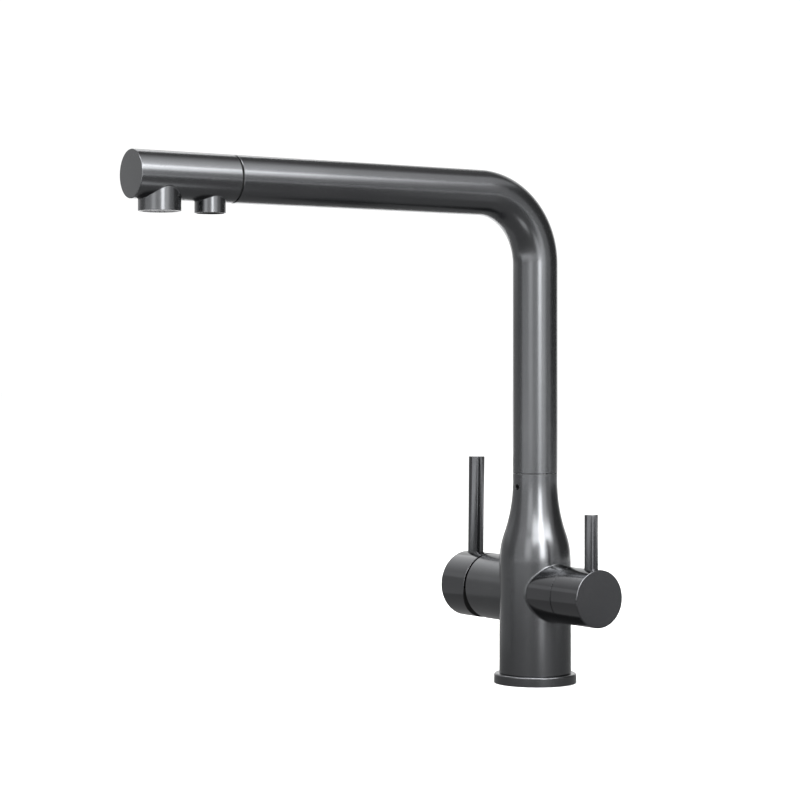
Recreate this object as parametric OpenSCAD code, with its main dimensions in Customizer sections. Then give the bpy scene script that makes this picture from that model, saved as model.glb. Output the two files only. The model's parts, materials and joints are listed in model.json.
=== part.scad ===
// Kitchen mixer tap with a second, filtered water way.
// The origin is on the deck at the centre of the foot, +Z is up and the spout points along -Y.
// The mixer handle is on the -X side and the filter handle on the +X side.

/* [Spout] */
// Height of the spout arm's centre line above the deck
spout_height = 305.5; // [270:0.5:360]
// Reach from the swivel axis to the end face of the nose
spout_reach = 282.4; // [220:0.2:330]
// Outer diameter of the spout tube, the nose and the neck of the body
tube_d = 28; // [27:0.2:31]
// Wall of the spout tube
tube_wall = 1.2; // [0.9:0.1:1.6]
// Radius of the bend on the tube's centre line
bend_radius = 43; // [34:1:60]
// Outer diameter of the tube that carries filtered water inside the spout
filter_tube_d = 8; // [6:0.1:8.6]
// Wall of the filtered water tube
filter_tube_wall = 1.1; // [0.7:0.1:1.4]

/* [Nose and outlets] */
// Length of the nose from its joint with the tube to its end face
nose_length = 64.9; // [62:0.1:80]
// Width of the dark joint between tube and nose
nose_joint = 1; // [0.4:0.1:1.2]
// Wall of the nose
nose_wall = 1.6; // [1.2:0.1:2]
// Thickness of the nose's end wall
nose_end_wall = 2.5; // [1.5:0.1:4]
// Outer diameter of the mixed water outlet
mixed_outlet_d = 24.5; // [22:0.1:26]
// Wall of the mixed water outlet round its aerator
mixed_outlet_wall = 1.5; // [1:0.1:2]
// Distance from the nose's end face to the centre of the mixed water outlet
mixed_outlet_inset = 18.2; // [16:0.1:22]
// Drop from the spout's centre line to the rim of the mixed water outlet
mixed_outlet_drop = 20.4; // [19:0.1:24]
// Outer diameter of the filtered water outlet
filter_outlet_d = 18; // [16.4:0.1:20]
// Wall of the filtered water outlet
filter_outlet_wall = 2.4; // [1.6:0.1:2.6]
// Distance between the centres of the two outlets
outlet_spacing = 32.4; // [28:0.1:34]
// Drop from the spout's centre line to the rim of the filtered water outlet
filter_outlet_drop = 20.3; // [19:0.1:24]

/* [Body] */
// Height of the joint between the body and the turning spout
seam_height = 131.4; // [129:0.1:150]
// Width of the joint between the body and the turning spout
seam_gap = 0.2; // [0.1:0.05:0.6]
// Outer diameter of the straight lower body
body_d = 45; // [44.4:0.1:50]
// Length of the straight neck under the spout joint
neck_length = 4.9; // [2:0.1:14]
// Length of the curved shoulder between neck and body
shoulder_length = 50.5; // [44:0.5:58]
// Share of the shoulder that curves inwards, the rest curves outwards
shoulder_split = 0.65; // [0.5:0.01:0.75]
// Wall of the neck round the spout's swivel
neck_wall = 3; // [2.8:0.1:3.4]
// Depth of the swivel's bore below the spout joint
swivel_depth = 36; // [34:0.5:38]
// Depth of the retaining screw's centre below the spout joint
screw_drop = 8.5; // [7:0.1:10]
// Diameter of the retaining screw
screw_d = 3.5; // [3:0.1:4]

/* [Foot] */
// How far the foot ring stands out from the body
foot_rim = 3.25; // [2:0.05:6]
// Height of the foot ring
foot_h = 6.2; // [3.6:0.1:8]
// Wall of the body round the inlet block
foot_wall = 2; // [1.5:0.1:2.6]
// Distance between neighbouring holes under the foot, which form a square
port_pitch = 18; // [17:0.1:19]
// Diameter of the threaded water ports
port_d = 10; // [8:0.5:10.5]
// Depth of the threaded water ports
port_depth = 12; // [8:0.5:16]
// Diameter of the threaded hole for the fixing stud
stud_d = 8; // [6:0.5:10]
// Depth of the threaded hole for the fixing stud
stud_depth = 18; // [12:0.5:24]
// Diameter of the water passages in the body
passage_d = 5; // [4:0.1:5.4]

/* [Mixer side] */
// Height of both handles' turning axis
handle_height = 57.3; // [50:0.1:60]
// Outer diameter of the mixer's barrel and knob
mixer_d = 42; // [41.4:0.1:48]
// Distance from the body's axis to the end of the mixer's barrel
mixer_end = 46.4; // [46:0.1:56]
// Gap between the barrel and the mixer's knob
mixer_gap = 1.9; // [1.4:0.1:3]
// Length of the mixer's knob
mixer_knob_length = 25.5; // [23:0.1:36]
// Diameter of the ceramic cartridge
cartridge_d = 35; // [33:0.1:35.4]
// Depth of the cartridge's bay behind the end of the barrel
cartridge_depth = 32.4; // [32.2:0.1:32.8]
// Angle that the mixer's handle tips outwards to open fully
tip_angle = 18; // [12:1:18]
// Diameter of the mixer's lever
mixer_lever_d = 10.3; // [8:0.1:12]
// Height of the mixer lever's tip above the handle axis
mixer_lever_reach = 82.9; // [50:0.1:120]
// Distance from the mixer lever's centre to the outer face of the knob
mixer_lever_inset = 9.3; // [8:0.1:12]
// Angle that the mixer's lever leans in towards the body
mixer_lever_lean = 1; // [0:0.1:3]

/* [Filter side] */
// Outer diameter of the filter valve's barrel and knob
filter_d = 35.4; // [35:0.1:40]
// Distance from the body's axis to the end of the filter barrel
filter_end = 38.4; // [37:0.1:46]
// Gap between the barrel and the filter knob
filter_gap = 0.6; // [0.3:0.1:1.5]
// Length of the filter knob
filter_knob_length = 25.8; // [23:0.1:34]
// Diameter of the filter valve's screwed body
valve_d = 24; // [23:0.1:25]
// Depth of the filter valve's bay behind the end of the barrel
valve_depth = 24.4; // [23.8:0.1:25]
// Diameter of the filter lever
filter_lever_d = 8.4; // [6:0.1:10]
// Height of the filter lever's tip above the handle axis
filter_lever_reach = 50.7; // [30:0.1:80]
// Distance from the filter lever's centre to the outer face of the knob
filter_lever_inset = 8.1; // [7:0.1:10]

/* [Fits and edges] */
// Radial clearance between a turning piece and its bore
run_gap = 0.05; // [0.02:0.01:0.1]
// Radial clearance between pieces that are fixed together
fit_gap = 0.05; // [0.02:0.01:0.1]
// Radius of the rounded outer edges
edge_round = 0.4; // [0.1:0.05:0.6]

/* [Hidden] */
$fn = 96;

gunmetal = [0.27, 0.27, 0.28];
brass = [0.75, 0.62, 0.36];
ceramic = [0.92, 0.92, 0.9];
white_plastic = [0.82, 0.82, 0.83];
black_plastic = [0.1, 0.1, 0.1];
rubber = [0.06, 0.06, 0.06];
steel = [0.6, 0.6, 0.62];
cut = 1; // how far a cutting shape runs past the face that it opens

// Round sections shared by the spout, the neck and the nose
tube_r = tube_d / 2;
tube_bore_r = tube_r - tube_wall;
filter_tube_r = filter_tube_d / 2;
filter_way_r = filter_tube_r - filter_tube_wall;
bend_z = spout_height - bend_radius;
passage_r = passage_d / 2;

// Spout joint and swivel
neck_top = seam_height - seam_gap / 2;
tube_foot = seam_height + seam_gap / 2;
swivel_r = tube_r - neck_wall;
swivel_floor = neck_top - swivel_depth;
washer_rim = 1.8;
washer_r = swivel_r + washer_rim;
washer_sink = 1.2;
washer_play = 0.05;
insert_lap = 14;
foot_play = 0.3;
insert_foot = swivel_floor + foot_play;
ring_section = 1;
ring_float = 0.03;
ring_centre_r = swivel_r - ring_float - ring_section;
ring_groove_r = ring_centre_r - ring_section - ring_float;
ring_groove_h = 2 * ring_section + 0.6;
ring_drops = [16, 24];
insert_bore_r = ring_groove_r - 1.4;
glide_drop = 30;
glide_h = 4;
glide_play = 0.2;
glide_groove_r = swivel_r - 1.6;
screw_r = screw_d / 2;
screw_hole_r = screw_r + fit_gap;
screw_tip_r = screw_r - 0.3;
screw_bed = 3;
screw_z = seam_height - screw_drop;
screw_groove_r = swivel_r - 1.7;
screw_groove_h = 2 * screw_tip_r + 0.6;
screw_recess = 0.7;
tip_play = 0.3;

// Body outline: two tangent arcs between the neck and the straight body
body_r = body_d / 2;
shoulder_top = seam_height - neck_length;
shoulder_foot = shoulder_top - shoulder_length;
shoulder_turn = 2 * atan((body_r - tube_r) / shoulder_length);
shoulder_radii = shoulder_length / sin(shoulder_turn);
inward_arc_r = shoulder_split * shoulder_radii;
outward_arc_r = shoulder_radii - inward_arc_r;
shoulder_mid = shoulder_foot + outward_arc_r * sin(shoulder_turn);
block_r = body_r - foot_wall;
block_web = 4;
block_top = max(port_depth, stud_depth) + block_web;
foot_r = body_r + foot_rim;
foot_seal_in = block_r + 1.3;
foot_seal_out = foot_r - 1.6;
foot_seal_h = 1.6;

// Mixer cartridge, stacked outwards from the floor of its bay
cartridge_r = cartridge_d / 2;
bay_play = 0.2;
bay_r = cartridge_r + bay_play;
nut_step = 1.5;
nut_bore_r = cartridge_r + nut_step;
mixer_r = mixer_d / 2;
bay_floor = mixer_end - cartridge_depth;
seal_stand = 0.6;
seal_sink = 0.6;
base_h = 3.9;
fixed_disc_h = 3.5;
sliding_disc_h = 2.5;
carrier_h = 4;
rotor_play = 0.3;
rotor_h = 9.2;
case_play = 0.2;
base_u = bay_floor + seal_stand;
fixed_disc_u = base_u + base_h;
sliding_disc_u = fixed_disc_u + fixed_disc_h;
carrier_u = sliding_disc_u + sliding_disc_h;
rotor_u = carrier_u + carrier_h + rotor_play;
case_top_u = rotor_u + rotor_h + case_play;
nut_h = 4.8;
nut_sink = 0.6;
nut_u = mixer_end - nut_sink - nut_h;
nut_in_r = 12;
nut_slot = 3;
case_wall = 3.9;
case_bore_r = cartridge_r - case_wall;
rotor_r = case_bore_r - 0.1;
disc_r = case_bore_r - 0.2;
sliding_disc_room = 2.4;
sliding_disc_r = case_bore_r - sliding_disc_room;
pivot_rise = 5.2;
pivot_u = rotor_u + pivot_rise;
disc_rim = 5;
disc_hollow = 1.2;
pin_r = 1.5;
pin_inset = 1.5;
stem_half = 4;
slot_half = stem_half + run_gap;
slot_reach = stem_half + 2;
case_hole_rim = 4.5;
case_hole_r = stem_half + case_hole_rim;
stem_toe_drop = 7;
stem_toe_u = pivot_u - stem_toe_drop;
stem_toe_r = 2;
stem_toe_half = 3.5;
stem_neck_half = 1.4;
stem_block_drop = 3.5;
stem_block_u = pivot_u - stem_block_drop;
toe_play = 0.15;
stem_throw = stem_toe_drop * sin(tip_angle);
port_ring_r = 9;
supply_port_drop = 5.3;
port_lip = 0.3;
disc_web = 0.75;
supply_ring_r = disc_r - passage_r + port_lip - disc_web;
supply_port_y = sqrt(pow(supply_ring_r, 2) - pow(supply_port_drop, 2));
seal_ring_step = 1.5;
seal_ring_r = passage_r + seal_ring_step;

// Mixer handle
knob_u = mixer_end + mixer_gap;
mixer_face = knob_u + mixer_knob_length;
mixer_lever_u = mixer_face - mixer_lever_inset;
mixer_lever_r = mixer_lever_d / 2;
knob_wall = 2.8;
relief_drop = 1;
lever_web = 2;
knob_recess_u = mixer_lever_u - mixer_lever_r - lever_web;
hub_r = 8.5;
hub_step = 6;
stem_end = mixer_lever_u - 0.5;
seat_depth = 1.5;
knob_screw_r = 2.5;
knob_screw_inset = 4.5;
knob_screw_u = mixer_lever_u - knob_screw_inset;
knob_screw_length = 8;
tip_step = 0.4;
tip_length = 1.4;
mixer_stud_r = 3;
filter_stud_r = 2.5;
stud_reach = 7;
socket_half = stem_half + fit_gap;
stud_lift = 0.4;
socket_end = 0.2;

// Filter valve, stacked outwards from the floor of its bay
filter_r = filter_d / 2;
valve_floor = filter_end - valve_depth;
valve_r = valve_d / 2;
valve_seal_h = 1.2;
valve_seal_play = 0.3;
valve_u = valve_floor + valve_seal_h;
hex_bay_depth = 4.4;
valve_seat_u = filter_end - hex_bay_depth;
hex_rise = 1.8;
hex_room = 0.7;
hex_r = valve_r + hex_rise;
hex_bay_r = hex_r + hex_room;
hex_stand = 2.6;
valve_face = filter_end + hex_stand;
valve_wall = 3.5;
valve_bore_r = valve_r - valve_wall;
valve_disc_r = valve_bore_r - 0.2;
valve_disc_u = valve_u + 0.2;
valve_disc_h = 3;
port_rim = 1.6;
port_web = 1;
turning_disc_u = valve_disc_u + valve_disc_h + 0.1;
turning_disc_h = 2.8;
spindle_u = turning_disc_u + turning_disc_h;
spindle_collar_h = 7.9;
shoulder_play = 0.2;
valve_bore_end = spindle_u + spindle_collar_h + shoulder_play;
spindle_r = 4;
window_u = valve_u + 4;
window_h = 4.5;
window_depth = 1.6;
window_w = 5;
window_rim = 0.5;
filter_ring_section = 0.7;
filter_ring_u = valve_face - 5;
filter_ring_centre = spindle_r + run_gap - ring_float - filter_ring_section;
filter_ring_groove = 2 * filter_ring_section + 0.2;
filter_groove_r = filter_ring_centre - filter_ring_section - ring_float;
drive_slot = 6;
drive_slot_h = 3;

// Filter handle
filter_knob_u = filter_end + filter_gap;
filter_face = filter_knob_u + filter_knob_length;
filter_lever_u = filter_face - filter_lever_inset;
filter_lever_r = filter_lever_d / 2;
filter_knob_wall = 2.4;
filter_hub_u = valve_face + 1;
filter_hub_wall = 4;
filter_hub_r = spindle_r + filter_hub_wall;
filter_recess_u = filter_lever_u - filter_lever_r - lever_web;
spindle_end = filter_lever_u - 0.6;
filter_screw_r = 2;
filter_screw_inset = 3.6;
filter_screw_u = filter_lever_u - filter_screw_inset;
filter_screw_length = 7;

// Water ways inside the body
chamber_web = 1;
chamber_floor = handle_height + mixer_r + chamber_web;
chamber_r = swivel_r - 1;
mixed_way_x = port_pitch / 2 - 0.5;
mixed_port_z = handle_height + port_ring_r;
supply_port_z = handle_height - supply_port_drop;
cross_way_web = 0.95;
cross_way_r = (filter_r - valve_r) / 2 - cross_way_web;
cross_way_z = handle_height + (filter_r + valve_r) / 2;
outlet_window_x = window_u + window_h / 2;
socket_screw_r = 5;
barrel_root = socket_screw_r + 0.5;
socket_r = 6.5;
socket_h = 12;
socket_top = chamber_floor + socket_h;
tube_seat_rise = 2;
tube_seat_z = chamber_floor + tube_seat_rise;
socket_ring_section = 0.5;
socket_ring_h = 2 * socket_ring_section + 0.2;
socket_ring_rise = 7;
socket_ring_z = chamber_floor + socket_ring_rise;

// Nose, measured along the arm from the swivel axis
nose_seam = spout_reach - nose_length;
nose_start = nose_seam + nose_joint / 2;
arm_end = nose_seam - nose_joint / 2;
nose_bore_r = tube_r - nose_wall;
adapter_bore_r = nose_bore_r - 1.8;
adapter_lap = 11;
adapter_reach = 3.4;
adapter_nose_r = min(nose_bore_r, tube_bore_r) - fit_gap;
seal_play = 0.03;
seal_height = 0.9;
mixed_outlet_s = spout_reach - mixed_outlet_inset;
mixed_outlet_r = mixed_outlet_d / 2;
mixed_bore_r = mixed_outlet_r - mixed_outlet_wall;
mixed_rim_z = spout_height - mixed_outlet_drop;
aerator_sink = 0.2;
aerator_h = 9.8;
aerator_wall = 1.3;
aerator_in_r = mixed_bore_r - fit_gap - aerator_wall;
aerator_washer_h = 1.4;
ledge_z = mixed_rim_z + aerator_sink + aerator_h + aerator_washer_h;
ledge_w = 2;
ledge_h = 1.5;
grille_h = 0.8;
grille_sink = 0.5;
grille_hole_r = 0.95;
grille_pitch = 2.5;
grille_z = mixed_rim_z + aerator_sink + grille_sink;
core_pitch = 3.2;
core_hole_r = 1.1;
filter_outlet_s = mixed_outlet_s - outlet_spacing;
filter_outlet_r = filter_outlet_d / 2;
filter_bore_r = filter_outlet_r - filter_outlet_wall;
filter_rim_z = spout_height - filter_outlet_drop;
filter_pad_step = 2.5;
filter_pad_z = spout_height - filter_tube_r - filter_pad_step;
elbow_r = filter_bore_r - fit_gap;
elbow_way_r = filter_way_r + 0.4;
elbow_rise = elbow_way_r + 2.2;
elbow_sink = 4.8;
insert_h = 3;
insert_pitch = 2.2;
insert_hole_r = 0.75;
tube_plug = 3;

// Copy along the mixer's axis: local z points outwards, local x points up
module mixer_frame() {
    translate([0, 0, handle_height]) rotate([0, -90, 0]) children();
}

// Copy along the filter valve's axis: local z points outwards, local x points up
module filter_frame() {
    translate([0, 0, handle_height]) rotate([0, 90, 0]) rotate([0, 0, 180]) children();
}

// Copy along the spout's arm: local z points to the nose, local y points up
module arm_frame() {
    translate([0, 0, spout_height]) rotate([90, 0, 0]) children();
}

// Round bar with rounded rims at its foot and its top
module rod(r, length, foot = 0, top = 0) {
    rotate_extrude() {
        translate([0, foot]) square([r, length - foot - top]);
        square([r - foot, length / 2]);
        translate([0, length / 2]) square([r - top, length / 2]);
        if (foot > 0) translate([r - foot, foot]) circle(foot);
        if (top > 0) translate([r - top, length - top]) circle(top);
    }
}

// Flat ring with a square section
module ring(out_r, in_r, length) {
    difference() {
        cylinder(r = out_r, h = length);
        translate([0, 0, -cut]) cylinder(r = in_r, h = length + 2 * cut);
    }
}

// Ring with a round section
module o_ring(centre_r, section_r) {
    rotate_extrude() translate([centre_r, 0]) circle(section_r, $fn = 32);
}

// Ring groove cut from outside into a round bar of the given radius
module outer_groove(bar_r, floor_r, height) {
    translate([0, 0, -height / 2]) ring(bar_r + cut, floor_r, height);
}

// Upright round hole between two heights
module upright(x, y, low, high, r) {
    translate([x, y, low]) cylinder(r = r, h = high - low);
}

// Level round hole along X between two places
module level_x(x_low, x_high, y, z, r) {
    translate([x_low, y, z]) rotate([0, 90, 0]) cylinder(r = r, h = x_high - x_low);
}

// Bar that follows the spout: up the riser, round the bend and along the arm
module spout_path(r, foot, end) {
    translate([0, 0, foot]) cylinder(r = r, h = bend_z - foot);
    translate([0, -bend_radius, bend_z]) rotate([90, 0, 90])
        rotate_extrude(angle = 90) translate([bend_radius, 0]) circle(r);
    arm_frame() translate([0, 0, bend_radius]) cylinder(r = r, h = end - bend_radius);
}

// Half outline of the body, from the foot ring to the spout joint
module body_outline() {
    translate([0, foot_h + edge_round]) square([body_r, shoulder_foot - foot_h - edge_round]);
    polygon([
        [0, foot_h], [body_r - edge_round, foot_h], [body_r, foot_h + edge_round], [0, foot_h + edge_round]
    ]);
    intersection() {
        translate([body_r - outward_arc_r, shoulder_foot]) circle(outward_arc_r, $fn = 256);
        translate([0, shoulder_foot]) square([body_r, shoulder_mid - shoulder_foot]);
    }
    difference() {
        translate([0, shoulder_mid]) square([body_r, shoulder_top - shoulder_mid]);
        translate([tube_r + inward_arc_r, shoulder_top]) circle(inward_arc_r, $fn = 256);
    }
    translate([0, shoulder_top]) square([tube_r, neck_top - shoulder_top]);
}

// Bay for the cartridge and its nut
module mixer_bay() {
    mixer_frame() {
        translate([0, 0, bay_floor]) cylinder(r = bay_r, h = nut_u - bay_floor);
        translate([0, 0, nut_u]) cylinder(r = nut_bore_r, h = mixer_end - nut_u + cut);
    }
}

// Bay for the filter valve and its hexagon
module filter_bay() {
    filter_frame() {
        translate([0, 0, valve_floor]) cylinder(r = valve_r, h = valve_seat_u - valve_floor);
        translate([0, 0, valve_seat_u]) cylinder(r = hex_bay_r, h = filter_end - valve_seat_u + cut);
    }
}

// Bore for the spout's swivel, the seat of its washer and the mixing chamber below
module swivel_bay() {
    upright(0, 0, chamber_floor, swivel_floor, chamber_r);
    upright(0, 0, swivel_floor, neck_top + cut, swivel_r);
    upright(0, 0, neck_top - washer_sink, neck_top + cut, washer_r);
}

// Passages for hot, cold, mixed and filtered water
module water_ways() {
    half = port_pitch / 2;
    for (side = [-1, 1]) {
        upright(-half, side * supply_port_y, port_depth - cut, supply_port_z, passage_r);
        level_x(-bay_floor - cut, -half, side * supply_port_y, supply_port_z, passage_r);
        translate([-half, side * supply_port_y, supply_port_z]) sphere(passage_r);
    }
    level_x(-bay_floor - cut, -mixed_way_x, 0, mixed_port_z, passage_r);
    upright(-mixed_way_x, 0, mixed_port_z, chamber_floor + cut, passage_r);
    upright(half, -half, port_depth - cut, handle_height, passage_r);
    translate([half, 0, handle_height]) rotate([90, 0, 0]) cylinder(r = passage_r, h = half);
    level_x(half, valve_floor + cut, 0, handle_height, passage_r);
    upright(outlet_window_x, 0, handle_height + valve_r - cut, cross_way_z, cross_way_r);
    translate([outlet_window_x, 0, cross_way_z]) sphere(cross_way_r);
    level_x(0, outlet_window_x, 0, cross_way_z, cross_way_r);
    upright(0, 0, cross_way_z - cross_way_r, chamber_floor + cut, socket_screw_r);
}

// Threaded holes in the underside: hot, cold and filtered water, and the fixing stud
module foot_holes() {
    half = port_pitch / 2;
    upright(-half, half, -cut, port_depth, port_d / 2);
    upright(-half, -half, -cut, port_depth, port_d / 2);
    upright(half, -half, -cut, port_depth, port_d / 2);
    upright(half, half, -cut, stud_depth, stud_d / 2);
}

// Bottle-shaped outer body, bored for the inlet block, the two valve barrels and the swivel
module body_casting() {
    color(gunmetal) difference() {
        rotate_extrude($fn = 128) body_outline();
        upright(0, 0, 0, block_top, block_r + fit_gap);
        mixer_frame() translate([0, 0, barrel_root]) cylinder(r = mixer_r + fit_gap, h = mixer_end);
        filter_frame() translate([0, 0, barrel_root]) cylinder(r = filter_r + fit_gap, h = filter_end);
        swivel_bay();
        water_ways();
        translate([0, 0, screw_z]) rotate([90, 0, 0]) cylinder(r = screw_hole_r, h = tube_r + screw_bed);
    }
}

// Block in the bottom of the body that holds the threaded holes
module inlet_block() {
    color(brass) difference() {
        upright(0, 0, 0, block_top, block_r);
        water_ways();
        foot_holes();
    }
}

module mixer_barrel() {
    color(gunmetal) difference() {
        mixer_frame() translate([0, 0, barrel_root]) rod(mixer_r, mixer_end - barrel_root, top = edge_round);
        mixer_bay();
        water_ways();
    }
}

module filter_barrel() {
    color(gunmetal) difference() {
        filter_frame() translate([0, 0, barrel_root])
            rod(filter_r, filter_end - barrel_root, top = edge_round / 2);
        filter_bay();
        water_ways();
    }
}

module foot_ring() {
    color(gunmetal) difference() {
        rod(foot_r, foot_h, foot = edge_round, top = 2 * edge_round);
        upright(0, 0, -cut, foot_h + cut, block_r + fit_gap);
        translate([0, 0, -cut]) ring(foot_seal_out, foot_seal_in, foot_seal_h + cut);
    }
}

module foot_seal() {
    color(rubber) ring(foot_seal_out - fit_gap, foot_seal_in + fit_gap, foot_seal_h);
}

module swivel_washer() {
    color(white_plastic) translate([0, 0, neck_top - washer_sink])
        ring(washer_r - fit_gap, swivel_r + fit_gap, tube_foot - washer_play - neck_top + washer_sink);
}

// Screw with a hexagon socket, from its tip at z = 0 to its outer end
module socket_screw(r, tip_r, tip_length, length) {
    difference() {
        union() {
            cylinder(r = tip_r, h = tip_length + cut / 2);
            translate([0, 0, tip_length]) cylinder(r = r, h = length - tip_length);
        }
        translate([0, 0, length - r]) cylinder(r = 0.6 * r, h = r + cut, $fn = 6);
    }
}

module swivel_screw() {
    tip_at = screw_groove_r + tip_play;
    color(steel) translate([0, 0, screw_z]) rotate([90, 0, 0]) translate([0, 0, tip_at])
        socket_screw(screw_r, screw_tip_r, swivel_r - tip_at, tube_r - screw_recess - tip_at);
}

module filter_socket() {
    color(brass) difference() {
        union() {
            upright(0, 0, cross_way_z + cross_way_r, chamber_floor, socket_screw_r - fit_gap);
            upright(0, 0, chamber_floor, socket_top, socket_r);
        }
        upright(0, 0, cross_way_z, tube_seat_z, filter_way_r);
        upright(0, 0, tube_seat_z, socket_top + cut, filter_tube_r + run_gap);
        translate([0, 0, socket_ring_z]) ring_hollow();
    }
}

// Groove inside the socket that holds its seal
module ring_hollow() {
    translate([0, 0, -socket_ring_h / 2])
        cylinder(r = filter_tube_r + ring_float + 2 * socket_ring_section + fit_gap, h = socket_ring_h);
}

module socket_o_ring() {
    color(rubber) translate([0, 0, socket_ring_z])
        o_ring(filter_tube_r + ring_float + socket_ring_section, socket_ring_section);
}

// Places of the cartridge's three ports: two supplies below and the mixed way above
module at_ports() {
    for (side = [-1, 1]) translate([-supply_port_drop, side * supply_port_y, 0]) children();
    translate([port_ring_r, 0, 0]) children();
}

module cartridge_case() {
    color(black_plastic) mixer_frame() difference() {
        translate([0, 0, fixed_disc_u]) cylinder(r = cartridge_r, h = nut_u - fixed_disc_u);
        translate([0, 0, fixed_disc_u - cut])
            cylinder(r = case_bore_r, h = case_top_u - fixed_disc_u + cut);
        translate([0, 0, case_top_u - cut]) cylinder(r = case_hole_r, h = nut_u - case_top_u + 2 * cut);
    }
}

module cartridge_base() {
    color(white_plastic) mixer_frame() difference() {
        translate([0, 0, base_u]) cylinder(r = cartridge_r, h = fixed_disc_u - base_u);
        translate([0, 0, base_u - cut]) at_ports() {
            cylinder(r = passage_r, h = fixed_disc_u - base_u + 2 * cut);
            cylinder(r = seal_ring_r + fit_gap, h = cut + seal_sink);
        }
    }
}

module cartridge_seals() {
    color(rubber) mixer_frame() translate([0, 0, bay_floor]) at_ports()
        ring(seal_ring_r, passage_r + port_lip, seal_stand + seal_sink);
}

module cartridge_fixed_disc() {
    color(ceramic) mixer_frame() difference() {
        translate([0, 0, fixed_disc_u]) cylinder(r = disc_r, h = sliding_disc_u - fixed_disc_u);
        translate([0, 0, fixed_disc_u - cut]) at_ports()
            cylinder(r = passage_r - port_lip, h = sliding_disc_u - fixed_disc_u + 2 * cut);
    }
}

module cartridge_nut() {
    color(brass) mixer_frame() translate([0, 0, nut_u]) difference() {
        cylinder(r = nut_bore_r - fit_gap, h = nut_h);
        translate([0, 0, -cut]) cylinder(r = nut_in_r, h = nut_h + 2 * cut);
        for (turn = [0, 90]) rotate(turn) translate([-nut_bore_r, -nut_slot / 2, nut_h - nut_slot / 2])
            cube([2 * nut_bore_r, nut_slot, nut_slot]);
    }
}

module cartridge_rotor() {
    color(white_plastic) mixer_frame() difference() {
        translate([0, 0, rotor_u]) cylinder(r = rotor_r, h = rotor_h);
        translate([-slot_reach, -slot_half, rotor_u - cut])
            cube([2 * slot_reach, 2 * slot_half, rotor_h + 2 * cut]);
        translate([0, 0, pivot_u]) rotate([90, 0, 0]) translate([0, 0, -rotor_r - cut])
            cylinder(r = pin_r + fit_gap / 2, h = 2 * rotor_r + 2 * cut);
    }
}

module cartridge_pin() {
    half = rotor_r - pin_inset;
    color(steel) mixer_frame() translate([0, 0, pivot_u]) rotate([90, 0, 0]) translate([0, 0, -half])
        cylinder(r = pin_r, h = 2 * half);
}

// The disc starts half a throw below the axis and ends half a throw above it
module cartridge_sliding_disc() {
    color(ceramic) mixer_frame() translate([-stem_throw / 2, 0, sliding_disc_u]) difference() {
        cylinder(r = sliding_disc_r, h = carrier_u - sliding_disc_u);
        translate([0, 0, -cut]) cylinder(r = sliding_disc_r - disc_rim, h = cut + disc_hollow);
    }
}

module disc_carrier() {
    color(white_plastic) mixer_frame() difference() {
        translate([-stem_throw / 2, 0, carrier_u]) cylinder(r = sliding_disc_r, h = carrier_h);
        translate([-stem_toe_r - toe_play, -stem_toe_half - toe_play, stem_toe_u - stem_toe_r - toe_play])
            cube([2 * (stem_toe_r + toe_play), 2 * (stem_toe_half + toe_play), carrier_h + cut]);
    }
}

module cartridge_stem() {
    color(brass) mixer_frame() difference() {
        union() {
            translate([0, stem_toe_half, stem_toe_u]) rotate([90, 0, 0])
                cylinder(r = stem_toe_r, h = 2 * stem_toe_half);
            translate([-stem_neck_half, -stem_toe_half, stem_toe_u])
                cube([2 * stem_neck_half, 2 * stem_toe_half, stem_block_u - stem_toe_u + cut]);
            translate([-stem_half, -stem_half, stem_block_u])
                cube([2 * stem_half, 2 * stem_half, stem_end - stem_block_u]);
        }
        translate([0, stem_half + cut, pivot_u]) rotate([90, 0, 0])
            cylinder(r = pin_r + run_gap, h = 2 * stem_half + 2 * cut);
    }
}

// The lower half of the knob's inner rim is cut back, which lets the knob tip
module tip_relief() {
    translate([-relief_drop, -mixer_r - cut, knob_u]) rotate([0, tip_angle, 0])
        translate([-2 * mixer_r, 0, -mixer_r])
        cube([2 * mixer_r, 2 * mixer_r + 2 * cut, mixer_r]);
}

module mixer_knob() {
    color(gunmetal) mixer_frame() difference() {
        translate([0, 0, knob_u]) rod(mixer_r, mixer_knob_length, foot = edge_round / 2, top = edge_round);
        difference() {
            translate([0, 0, knob_u - cut])
                cylinder(r = mixer_r - knob_wall, h = knob_recess_u - knob_u + cut);
            translate([0, 0, knob_recess_u - hub_step]) cylinder(r = hub_r, h = hub_step + cut);
        }
        translate([-socket_half, -socket_half, knob_u])
            cube([2 * socket_half, 2 * socket_half, stem_end + socket_end - knob_u]);
        tip_relief();
        mixer_lever_place() {
            cylinder(r = mixer_lever_r + fit_gap, h = mixer_r);
            translate([0, 0, -stud_reach]) cylinder(r = mixer_stud_r + fit_gap, h = stud_reach + cut);
        }
        translate([0, 0, knob_screw_u]) rotate([0, -90, 0]) translate([0, 0, stem_half])
            cylinder(r = knob_screw_r + fit_gap, h = mixer_r);
    }
}

// Copy at the mixer lever's seat: local z points along the lever
module mixer_lever_place() {
    translate([mixer_r - seat_depth, 0, mixer_lever_u]) rotate([0, 90 + mixer_lever_lean, 0]) children();
}

// Copy at the filter lever's seat: local z points along the lever
module filter_lever_place() {
    translate([filter_r - seat_depth, 0, filter_lever_u]) rotate([0, 90, 0]) children();
}

// Lever with its stud
module lever(r, length, stud_r) {
    rod(r, length, top = edge_round);
    translate([0, 0, stud_lift - stud_reach]) cylinder(r = stud_r, h = stud_reach);
}

module mixer_lever() {
    color(gunmetal) mixer_frame() mixer_lever_place()
        lever(mixer_lever_r, mixer_lever_reach - mixer_r + seat_depth, mixer_stud_r);
}

module mixer_knob_screw() {
    color(steel) mixer_frame() translate([0, 0, knob_screw_u]) rotate([0, -90, 0])
        translate([0, 0, stem_half + fit_gap])
            socket_screw(knob_screw_r, knob_screw_r - tip_step, tip_length, knob_screw_length);
}

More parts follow.
